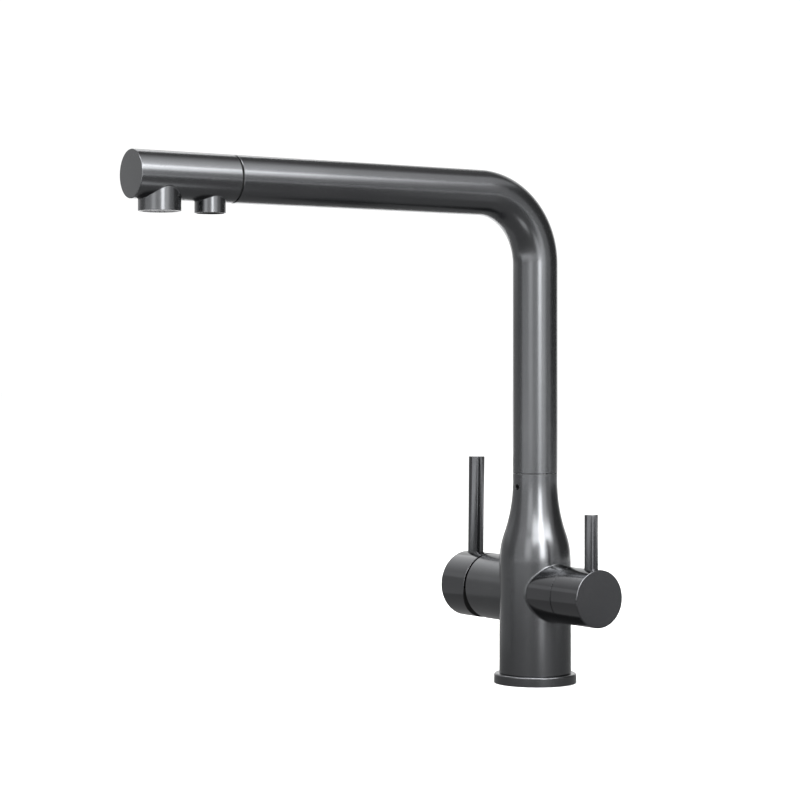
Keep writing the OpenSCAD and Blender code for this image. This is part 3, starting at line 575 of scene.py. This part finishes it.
# Near black painted shade for faces inside recesses, bays, bores and the knob's relief cut, where shade
# falls
painted_inside_shade = surface("uncoated_inside", (0.004, 0.004, 0.004), (0.008, 0.008, 0.008), (0.6, 0.8),
                      Specular_IOR_Level=0.1)
aerator_grey = surface("aerator_moulding", (0.15, 0.15, 0.155), (0.19, 0.19, 0.195), (0.4, 0.55),
                       Specular_IOR_Level=0.15)
hose_clear = surface("clear_hose_wall", (0.80, 0.84, 0.86), (0.88, 0.90, 0.92), (0.12, 0.25),
                     Transmission_Weight=0.75, IOR=1.5)

# Material that takes the place of each slot's plain one on the CAD nodes
LOOKS = {
    "satin_gunmetal": satin, "gloss_gunmetal": gloss, "brass": brass, "steel": steel, "rubber": rubber,
    "ceramic": ceramic, "cartridge_plastic": cartridge_grey, "glide_plastic": glide_white,
    "dark_plastic": dark_moulding, "silver_plastic": silver_moulding, "clear_hose": hose_clear,
}

# Metal at the bottom of gaps and screw holes that look black, given near black painted shade in place of
# its own colour
IN_THE_DARK = ("swivel_screw", "cartridge_nut", "filter_valve_body",
               "mixer_knob_screw", "filter_knob_screw")


def dress_nodes():
    """Gives the CAD nodes that stay visible their materials."""
    for node in bpy.context.scene.objects:
        for holder in node.material_slots:
            if holder.material and holder.material.name in LOOKS:
                holder.material = LOOKS[holder.material.name]
    # Parts deep in gaps and holes get painted shade
    for name in IN_THE_DARK:
        bpy.data.objects[name].material_slots[0].material = painted_shade_metal
    bpy.data.objects["aerator_grille"].material_slots[0].material = aerator_grey


def build_body():
    """Bottle-shaped body with the roots of both barrels, the screw hole and the swivel's bore."""
    bm = bmesh.new()
    outline = [(BLOCK_TOP, 0), (BLOCK_TOP, BLOCK_R + FIT)]
    outline += [(FOOT_H + FINE_EDGE, BLOCK_R + FIT), (FOOT_H, BLOCK_R + FIT + FINE_EDGE)]
    outline += corner(FOOT_H, BODY_R, 1, -1, EDGE)
    heights = spread(FOOT_H + EDGE, BARREL_BAND_LOW, 10)[1:]
    heights += spread(BARREL_BAND_LOW, BARREL_BAND_HIGH, 32)[1:]
    heights += spread(BARREL_BAND_HIGH, SCREW_Z - SCREW_BAND, 34)[1:]
    heights += spread(SCREW_Z - SCREW_BAND, SCREW_Z + SCREW_BAND, 8)[1:]
    heights += spread(SCREW_Z + SCREW_BAND, NECK_TOP - FINE_EDGE, 4)[1:]
    outline += [(h, body_radius(h)) for h in heights]
    outline += [(NECK_TOP, TUBE_R - FINE_EDGE), (NECK_TOP, WASHER_R)]
    outline += [(NECK_TOP - WASHER_SINK, WASHER_R), (NECK_TOP - WASHER_SINK, SWIVEL_R)]
    outline += [(SWIVEL_FLOOR, SWIVEL_R), (SWIVEL_FLOOR, 0)]
    ports = [
        Port(0, COLUMNS // 4, BARREL_BAND_LOW, BARREL_BAND_HIGH, AXIS_Z, FILTER.radius + FIT,
             BARREL_FILLET, True, [(FILTER.radius + FIT, BARREL_ROOT), (0, BARREL_ROOT)]),
        Port(COLUMNS // 2, COLUMNS // 4, BARREL_BAND_LOW, BARREL_BAND_HIGH, AXIS_Z, MIXER.radius + FIT,
             BARREL_HOLE_EDGE, False, [(MIXER.radius + FIT, BARREL_ROOT), (0, BARREL_ROOT)]),
        Port(3 * COLUMNS // 4, 4, SCREW_Z - SCREW_BAND, SCREW_Z + SCREW_BAND, SCREW_Z, SCREW_HOLE_R,
             SCREW_HOLE_EDGE, False, [(SCREW_HOLE_R, SCREW_HOLE_FLOOR), (0, SCREW_HOLE_FLOOR)]),
    ]
    turned(bm, outline, UP, COLUMNS, ports, body_radius)
    outside = on_round(UP, body_radius, FOOT_H + EDGE, NECK_TOP - FINE_EDGE)
    body = finish_mesh(bm, "body_shell", satin, surfaces=[outside])
    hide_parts("body_casting")
    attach(body, "tap_body")


def build_foot_ring():
    """Ring foot with a rounded upper edge."""
    bm = bmesh.new()
    inner = BLOCK_R + FIT
    outline = corner(0, inner, 1, 1, FINE_EDGE)[::-1] + corner(0, FOOT_R, 1, -1, EDGE)
    outline += corner(FOOT_H, FOOT_R, -1, -1, FOOT_EDGE, 8)[::-1]
    outline += corner(FOOT_H, inner, -1, 1, FINE_EDGE)
    outline.append(outline[0])
    turned(bm, outline, UP, HANDLE_COLUMNS)
    ring = finish_mesh(bm, "foot_flange", satin)
    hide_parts("foot_ring")
    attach(ring, "tap_body")


def build_barrel(side, edge, material):
    """Side barrel, closed at its root inside the body, with a wide mouth and a bay behind it."""
    bm = bmesh.new()
    radius, end = side.radius, side.barrel_end_u
    outline = [(BARREL_ROOT, 0), (BARREL_ROOT, radius)]
    outline += [(h, radius) for h in spread(BARREL_ROOT, end - edge, 6)[1:-1]]
    outline += corner(end, radius, -1, -1, edge)[::-1]
    outline += corner(end, side.mouth_r, -1, 1, FINE_EDGE)
    outline += [(side.mouth_floor_u, side.mouth_r), (side.mouth_floor_u, side.bay_r)]
    outline += [(BAY_FLOOR, side.bay_r), (BAY_FLOOR, 0)]
    turned(bm, outline, side.place, HANDLE_COLUMNS)
    # Faces in the mouth and bay get painted shade
    in_painted_shade = within(side.place, side.mouth_r + BY_RIM, BAY_FLOOR - BY_RIM, end - BY_RIM)
    outside = on_round(side.place, lambda h: radius, BARREL_ROOT, end - edge)
    surfaces = [outside, on_end(side.place, end)]
    piece = finish_mesh(bm, f"{side.name}_barrel_shell", material, in_painted_shade, surfaces)
    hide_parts(f"{side.name}_barrel")
    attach(piece, "tap_body")


def knob_port(column, radius, u, port_r, edge, floor):
    """Blind hole in a knob's side, at a distance u from the body's axis."""
    half = max(4, round(HANDLE_COLUMNS * math.asin((port_r + PORT_MARGIN) / radius) / (2 * math.pi)))
    low, high = u - port_r - PORT_MARGIN, u + port_r + PORT_MARGIN
    return Port(column, half, low, high, u, port_r + FIT, edge, False, [(port_r + FIT, floor), (0, floor)])


def upper_column(place):
    """Column of a knob's grid that faces up: local x points down on the filter side and up on the other."""
    across = place.to_3x3() @ Vector((1, 0, 0))
    return 0 if across.z > 0 else HANDLE_COLUMNS // 2


def cut_relief(bm):
    """Cuts the lower half of the mixer knob's inner rim back, which lets the knob tip outwards."""
    geometry = bm.verts[:] + bm.edges[:] + bm.faces[:]
    cut = bmesh.ops.bisect_plane(bm, geom=geometry, dist=1e-5, plane_co=RELIEF_HINGE,
                                 plane_no=RELIEF_NORMAL, clear_outer=True)
    edges = [e for e in cut["geom_cut"] if isinstance(e, bmesh.types.BMEdge)]
    bmesh.ops.triangle_fill(bm, use_beauty=True, edges=edges)


def build_knob(side, relief=False):
    """Round knob: closed outer face, recess and hub inside, seat for its lever above, screw hole below."""
    bm = bmesh.new()
    radius, start, face = side.radius, side.knob_start_u, side.knob_face_u
    inner_r = radius - side.knob_wall
    start_edge = FINE_EDGE if relief else SEAM_EDGE
    top = upper_column(side.place)
    bottom = (top + HANDLE_COLUMNS // 2) % HANDLE_COLUMNS
    seat = knob_port(top, radius, side.lever_u, side.lever_r, SEAT_EDGE, radius - SEAT_DEPTH)
    screw_hole = knob_port(bottom, radius, side.screw_u, side.screw_r, FINE_EDGE, KNOB_SCREW_FLOOR)

    outline = [(side.hub_u, 0), (side.hub_u, side.hub_r)]
    outline += [(side.recess_u, side.hub_r), (side.recess_u, inner_r)]
    outline += corner(start, inner_r, 1, 1, FINE_EDGE)[::-1]
    outline += corner(start, radius, 1, -1, start_edge)
    heights = spread(start + start_edge, seat.low, 8)[1:]
    heights += spread(seat.low, seat.high, 16)[1:]
    heights += spread(seat.high, face - FACE_EDGE, 3)[1:-1]
    outline += [(h, radius) for h in heights]
    outline += corner(face, radius, -1, -1, FACE_EDGE, 8)[::-1]
    outline += [(face, radius * share) for share in (0.75, 0.5, 0.25, 0)]
    turned(bm, outline, side.place, HANDLE_COLUMNS, [seat, screw_hole], lambda h: radius)
    if relief:
        cut_relief(bm)
    in_recess = within(side.place, inner_r + BY_WALL, start, side.recess_u + BY_RIM)

    # Faces in the recess and on the relief cut get painted shade
    def in_painted_shade(point):
        return in_recess(point) or relief and abs((point - RELIEF_HINGE).dot(RELIEF_NORMAL)) < ON_CUT

    outside = on_round(side.place, lambda h: radius, start + start_edge, face - FACE_EDGE)
    surfaces = [outside, on_end(side.place, face)]
    piece = finish_mesh(bm, f"{side.name}_knob_shell", gloss, in_painted_shade, surfaces)
    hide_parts(f"{side.name}_knob")
    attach(piece, f"{side.name}_handle")


def build_lever(side):
    """Slim round lever that stands in its knob's seat, its local z up along the lever."""
    bm = bmesh.new()
    radius, foot_z = side.lever_r, AXIS_Z + side.radius - SEAT_DEPTH
    length = side.lever_tip_z - foot_z
    foot = Matrix.Translation((side.towards * side.lever_u, 0, foot_z))
    outline = [(0, 0), (0, radius)]
    outline += [(h, radius) for h in spread(0, length - EDGE, 8)[1:-1]]
    outline += corner(length, radius, -1, -1, EDGE)[::-1] + [(length, radius / 2), (length, 0)]
    turned(bm, outline, foot @ Matrix.Rotation(math.radians(side.lever_lean), 4, "Y"), LEVER_COLUMNS)
    piece = finish_mesh(bm, f"{side.name}_lever_rod", gloss)
    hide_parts(f"{side.name}_lever")
    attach(piece, f"{side.name}_handle")


def spout_stations(foot, end):
    """Stations along the spout's centre line: (point, direction that stays in the plane of the bend)."""
    bend_z = ARM_Z - BEND_R
    bend_steps = 48
    stations = [(Vector((0, 0, z)), Vector((0, 1, 0))) for z in spread(foot, bend_z, 12)]
    for i in range(1, bend_steps + 1):
        a = math.pi / 2 * i / bend_steps
        outer = Vector((0, math.cos(a), math.sin(a)))
        stations.append((Vector((0, -BEND_R, bend_z)) + outer * BEND_R, outer))
    stations += [(Vector((0, -s, ARM_Z)), Vector((0, 0, 1))) for s in spread(BEND_R, end, 14)[1:]]
    return stations


def build_spout():
    """Bent tube with its bore, from the swivel joint to the nose."""
    bm = bmesh.new()
    bore = TUBE_R - TUBE_WALL
    stations = spout_stations(TUBE_FOOT + FINE_EDGE, ARM_END - FINE_EDGE)
    foot, *_, end = spout_stations(TUBE_FOOT, ARM_END)
    rounds = [(s, TUBE_R) for s in stations] + [(end, TUBE_R - FINE_EDGE), (end, bore)]
    rounds += [(s, bore) for s in reversed(stations)] + [(foot, bore), (foot, TUBE_R - FINE_EDGE)]
    sideways = Vector((1, 0, 0))
    loops = []
    for (centre, outer), r in rounds:
        loop = []
        for i in range(COLUMNS):
            a = 2 * math.pi * i / COLUMNS
            loop.append(bm.verts.new(centre + outer * (r * math.cos(a)) + sideways * (r * math.sin(a))))
        loops.append(loop)
    bridge(bm, loops + loops[:1])
    tube = finish_mesh(bm, "spout_pipe", satin)
    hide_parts("spout_tube")
    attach(tube, "spout")


def build_seam_ring():
    """Black seal that fills the bottom of the groove between tube and nose."""
    bm = bmesh.new()
    start, end = ARM_END + SEAL_PLAY, NOSE_START - SEAL_PLAY
    outline = [(start, SEAL_BORE_R), (start, SEAL_R), (end, SEAL_R), (end, SEAL_BORE_R)]
    outline.append(outline[0])
    turned(bm, outline, ALONG_ARM)
    ring = finish_mesh(bm, "seam_seal", rubber)
    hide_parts("nose_seal")
    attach(ring, "spout")


def boss(outlet):
    """Port for an outlet's boss, with the walls of its rim and bore."""
    drop = ARM_Z - outlet.rim_z
    mouth_r = outlet.bore_r + outlet.chamfer
    rim = corner(drop, outlet.radius, -1, -1, FINE_EDGE)[::-1] + corner(drop, mouth_r, -1, 1, FINE_EDGE)
    tail = [(outlet.radius, drop - BOSS_RISE)] + [(r, h) for h, r in rim]
    tail += [(outlet.bore_r, drop - FINE_EDGE - outlet.chamfer)]
    tail += [(outlet.bore_r, ARM_Z - outlet.top_z), (0, ARM_Z - outlet.top_z)]
    return Port(3 * COLUMNS // 4, COLUMNS // 4, outlet.start_s, outlet.end_s, outlet.s, outlet.radius,
                BOSS_FILLET, True, tail)


def build_nose():
    """End of the arm, with its closed face and the two outlets below."""
    bm = bmesh.new()
    outline = [(NOSE_BORE_END, 0), (NOSE_BORE_END, NOSE_BORE_R)]
    outline += corner(NOSE_START, NOSE_BORE_R, 1, 1, FINE_EDGE)[::-1]
    outline += corner(NOSE_START, TUBE_R, 1, -1, FINE_EDGE)
    distances = spread(NOSE_START + FINE_EDGE, FILTERED.start_s, 2)[1:]
    distances += spread(FILTERED.start_s, FILTERED.end_s, 24)[1:]
    distances += spread(MIXED.start_s, MIXED.end_s, 30)[1:]
    distances += spread(MIXED.end_s, REACH - FACE_EDGE, 2)[1:-1]
    outline += [(s, TUBE_R) for s in distances]
    outline += corner(REACH, TUBE_R, -1, -1, FACE_EDGE, 8)[::-1]
    outline += [(REACH, TUBE_R * share) for share in (0.75, 0.5, 0.25, 0)]
    turned(bm, outline, ALONG_ARM, COLUMNS, [boss(FILTERED), boss(MIXED)], lambda h: TUBE_R)

    hollows = [within(ALONG_ARM, NOSE_BORE_R + BY_WALL, 0, NOSE_BORE_END + BY_RIM)]
    tube = on_round(ALONG_ARM, lambda h: TUBE_R, NOSE_START, REACH - FACE_EDGE)
    surfaces = [on_end(ALONG_ARM, REACH), tube]
    for outlet in (MIXED, FILTERED):
        axis = Matrix.Translation((0, -outlet.s, 0))
        bore_r = outlet.bore_r + outlet.chamfer + BY_WALL
        hollows.append(within(axis, bore_r, outlet.rim_z + BY_RIM, ARM_Z))
        surfaces.append(on_round(axis, lambda h, r=outlet.radius: r, outlet.rim_z + FINE_EDGE, ARM_Z))

    # Faces in the bores get painted shade
    def in_painted_shade(point):
        return any(hollow(point) for hollow in hollows)

    nose = finish_mesh(bm, "nose_shell", satin, in_painted_shade, surfaces)
    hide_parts("nose_housing")
    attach(nose, "spout")


def build_aerator_ring():
    """Aerator's housing ring, with small notches for its key round the lower edge."""
    bm = bmesh.new()
    middle = Vector((0, -MIXED.s, MIXED.rim_z))
    corners = {}
    for i in range(RING_COLUMNS):
        a = 2 * math.pi * i / RING_COLUMNS
        for j, rise in enumerate((RING_FOOT, NOTCH_TOP, RING_TOP)):
            for k, r in enumerate((AERATOR_BORE_R, AERATOR_R)):
                point = middle + Vector((r * math.cos(a), r * math.sin(a), rise))
                corners[i, j, k] = bm.verts.new(point)

    def panel(*spots):
        bm.faces.new([corners[spot] for spot in spots])

    for i in range(RING_COLUMNS):
        n = (i + 1) % RING_COLUMNS
        notched = i % NOTCH_PITCH == 0
        foot = 1 if notched else 0
        for k in (0, 1):
            for j in range(foot, 2):
                panel((i, j, k), (n, j, k), (n, j + 1, k), (i, j + 1, k))
        for j in (foot, 2):
            panel((i, j, 0), (n, j, 0), (n, j, 1), (i, j, 1))
        if notched:
            for m in (i, n):
                panel((m, 0, 0), (m, 0, 1), (m, 1, 1), (m, 1, 0))
    ring = finish_mesh(bm, "aerator_key_ring", aerator_grey)
    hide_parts("aerator_ring")
    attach(ring, "spout")


# Photograph's viewing point, level, looking at the tap from the front right
CAMERA_PLACE = (1.1579, -0.8661, 0.1901)
CAMERA_TURN = 56.567
CAMERA_LENS = 103.5
CAMERA_SHIFT = -0.0256

# Point at which all lamps and cards are aimed
MIDDLE = Vector((0, -0.1, 0.16))

# Distance between cards that lie on one another on the table
LAYER = 0.0003


def build_camera():
    """Camera at the photograph's viewing point."""
    camera = bpy.data.objects.new("camera", bpy.data.cameras.new("camera"))
    bpy.context.scene.collection.objects.link(camera)
    camera.location = CAMERA_PLACE
    camera.rotation_euler = (math.radians(90), 0, math.radians(CAMERA_TURN))
    camera.data.sensor_width = 36
    camera.data.lens = CAMERA_LENS
    camera.data.shift_y = CAMERA_SHIFT
    bpy.context.scene.camera = camera


def direction(azimuth, elevation):
    """Unit vector at an azimuth from +X towards +Y and an elevation, both in degrees."""
    a, e = math.radians(azimuth), math.radians(elevation)
    return Vector((math.cos(e) * math.cos(a), math.cos(e) * math.sin(a), math.sin(e)))


def span(angle, distance):
    """Length that fills an angle, in degrees, at a distance."""
    return 2 * distance * math.tan(math.radians(angle / 2))


def aimed(piece, azimuth, elevation, distance, roll):
    """Puts an object at a direction from the tap, its -Z side towards the tap, rolled by degrees."""
    away = direction(azimuth, elevation)
    piece.location = MIDDLE + away * distance
    rolled = Quaternion((0, 0, 1), math.radians(roll))
    piece.rotation_euler = (away.to_track_quat("Z", "Y") @ rolled).to_euler()
    bpy.context.scene.collection.objects.link(piece)


def softbox(name, azimuth, elevation, width, height, level, distance=2.6, roll=0.0):
    """Rectangular lamp of an angular width and height in degrees and a surface brightness."""
    lamp = bpy.data.lights.new(name, "AREA")
    lamp.shape = "RECTANGLE"
    lamp.size = span(width, distance)
    lamp.size_y = span(height, distance)
    lamp.energy = level * math.pi * lamp.size * lamp.size_y
    aimed(bpy.data.objects.new(name, lamp), azimuth, elevation, distance, roll)


def staged(name, corners, faces):
    """Flat piece of the studio, not of the tap."""
    mesh = bpy.data.meshes.new(name)
    mesh.from_pydata(corners, [], faces)
    piece = bpy.data.objects.new(name, mesh)
    return piece


def sheet(name, width, depth):
    """Flat rectangle about its own origin."""
    x, y = width / 2, depth / 2
    return staged(name, [(-x, -y, 0), (x, -y, 0), (x, y, 0), (-x, y, 0)], [(0, 1, 2, 3)])


def shade(piece, level):
    """Gives a card a brightness of its own and lets only reflections show it."""
    cloth = bpy.data.materials.new(piece.name + "_cloth")
    cloth.use_nodes = True
    shader = cloth.node_tree.nodes["Principled BSDF"]
    shader.inputs["Base Color"].default_value = (0, 0, 0, 1)
    shader.inputs["Specular IOR Level"].default_value = 0
    shader.inputs["Emission Color"].default_value = (1, 1, 1, 1)
    shader.inputs["Emission Strength"].default_value = level
    piece.data.materials.append(cloth)
    piece.visible_camera = False
    piece.visible_diffuse = False
    piece.visible_transmission = False
    piece.visible_shadow = False


def flag(name, azimuth, elevation, width, height, level, distance=2.0, roll=0.0):
    """Card of an angular width and height in degrees, seen only in reflections, darker than the room."""
    card = sheet(name, span(width, distance), span(height, distance))
    shade(card, level)
    aimed(card, azimuth, elevation, distance, roll)
    return card


def graded_card(name, azimuth, elevation, width, height, start, end, distance=2.6, roll=0.0):
    """Card like a flag whose brightness runs from start to end along its width, bar the last twentieth."""
    card = flag(name, azimuth, elevation, width, height, start, distance, roll)
    tree = card.data.materials[0].node_tree
    place = tree.nodes.new("ShaderNodeTexCoord")
    split = tree.nodes.new("ShaderNodeSeparateXYZ")
    ramp = tree.nodes.new("ShaderNodeMapRange")
    ramp.inputs["From Max"].default_value = 0.95
    ramp.inputs["To Min"].default_value = start
    ramp.inputs["To Max"].default_value = end
    tree.links.new(place.outputs["Generated"], split.inputs["Vector"])
    tree.links.new(split.outputs["X"], ramp.inputs["Value"])
    tree.links.new(ramp.outputs["Result"], tree.nodes["Principled BSDF"].inputs["Emission Strength"])


def table_wedge(name, azimuth, width, near, far, level, layer):
    """Card on the table that fills an angle about the tap; higher layers lie on top."""
    steps = 8
    angles = spread(azimuth - width / 2, azimuth + width / 2, steps)
    corners = [direction(angle, 0) * distance for distance in (near, far) for angle in angles]
    faces = [(i, i + 1, i + steps + 2, i + steps + 1) for i in range(steps)]
    card = staged(name, corners, faces)
    shade(card, level)
    card.location.z = LAYER * layer
    bpy.context.scene.collection.objects.link(card)


def build_floor():
    """White floor, and cards on it that only reflections show."""
    floor = sheet("floor", 60.0, 60.0)
    bpy.context.scene.collection.objects.link(floor)
    paper = bpy.data.materials.new("white_paper")
    paper.use_nodes = True
    shader = paper.node_tree.nodes["Principled BSDF"]
    shader.inputs["Base Color"].default_value = (0.93, 0.93, 0.93, 1)
    shader.inputs["Roughness"].default_value = 0.9
    shader.inputs["Specular IOR Level"].default_value = 0
    floor.data.materials.append(paper)

    dark_table = sheet("table_dark", 2.4, 2.3)
    shade(dark_table, 0.31)
    dark_table.location = (0.75, 0, LAYER)
    bpy.context.scene.collection.objects.link(dark_table)

    # Azimuth and angle in degrees, nearest and farthest distance, brightness, layer
    table_wedge("table_left", -150, 60, 0.2, 1.3, 0.5, 2)
    table_wedge("table_near", -21, 26, 0.25, 0.43, 0.75, 3)
    table_wedge("table_near_core", -18, 14, 0.25, 0.43, 2.3, 4)
    table_wedge("table_right", 42, 22, 0.38, 1.6, 0.58, 2)
    table_wedge("table_strip", -12, 14, 0.9, 2.6, 2.6, 3)


def build_lights():
    """Soft lamps, bright and dark cards, and an even white room round them."""
    # Azimuth, elevation, width and height in degrees, then brightness and, where it differs, distance
    softbox("strip_right", -11.5, 17, 16, 30, 9, 7.0)
    softbox("softbox_right", 9, 10, 18, 26, 1.1)
    softbox("softbox_high", -7, 33, 68, 18, 6)
    softbox("softbox_arm", 30.5, 36, 13, 4, 8, roll=-22)
    graded_card("graded_over", 49.8, 60.9, 50, 14, 3.9, 0.5, roll=44)
    softbox("softbox_top", -45, 60, 100, 16, 9)
    softbox("softbox_left", -60, 16, 20, 30, 1.6, 7.0)
    softbox("softbox_back", 180, 50, 60, 24, 2.2)
    graded_card("graded_back", 188, 27.5, 52, 21, 2.0, 0.5)
    flag("flag_left", -126, 20, 36, 60, 0.42, 1.2)
    flag("flag_back", -165, -0.5, 47, 17, 0.5, 1.0)
    flag("flag_back_high", -165, 12.5, 47, 9, 0.8, 1.02)
    flag("flag_right", 79, 14, 58, 50, 0.15)
    flag("flag_over", 126, 55, 50, 36, 0.22, 2.8)
    flag("flag_bend", 42, 20.5, 18, 17, 0.65, 2.5)
    flag("flag_low", 38, 4.5, 27, 15, 0.7, 2.4)

    world = bpy.data.worlds.new("studio")
    world.use_nodes = True
    background = world.node_tree.nodes["Background"]
    background.inputs["Color"].default_value = (1, 1, 1, 1)
    background.inputs["Strength"].default_value = 1.08
    bpy.context.scene.world = world


dress_nodes()
build_body()
build_foot_ring()
build_barrel(MIXER, EDGE, satin)
build_barrel(FILTER, SEAM_EDGE, gloss)
build_knob(MIXER, relief=True)
build_knob(FILTER)
build_lever(MIXER)
build_lever(FILTER)
build_spout()
build_seam_ring()
build_nose()
build_aerator_ring()
build_camera()
build_floor()
build_lights()
bpy.context.scene.view_settings.view_transform = "Standard"
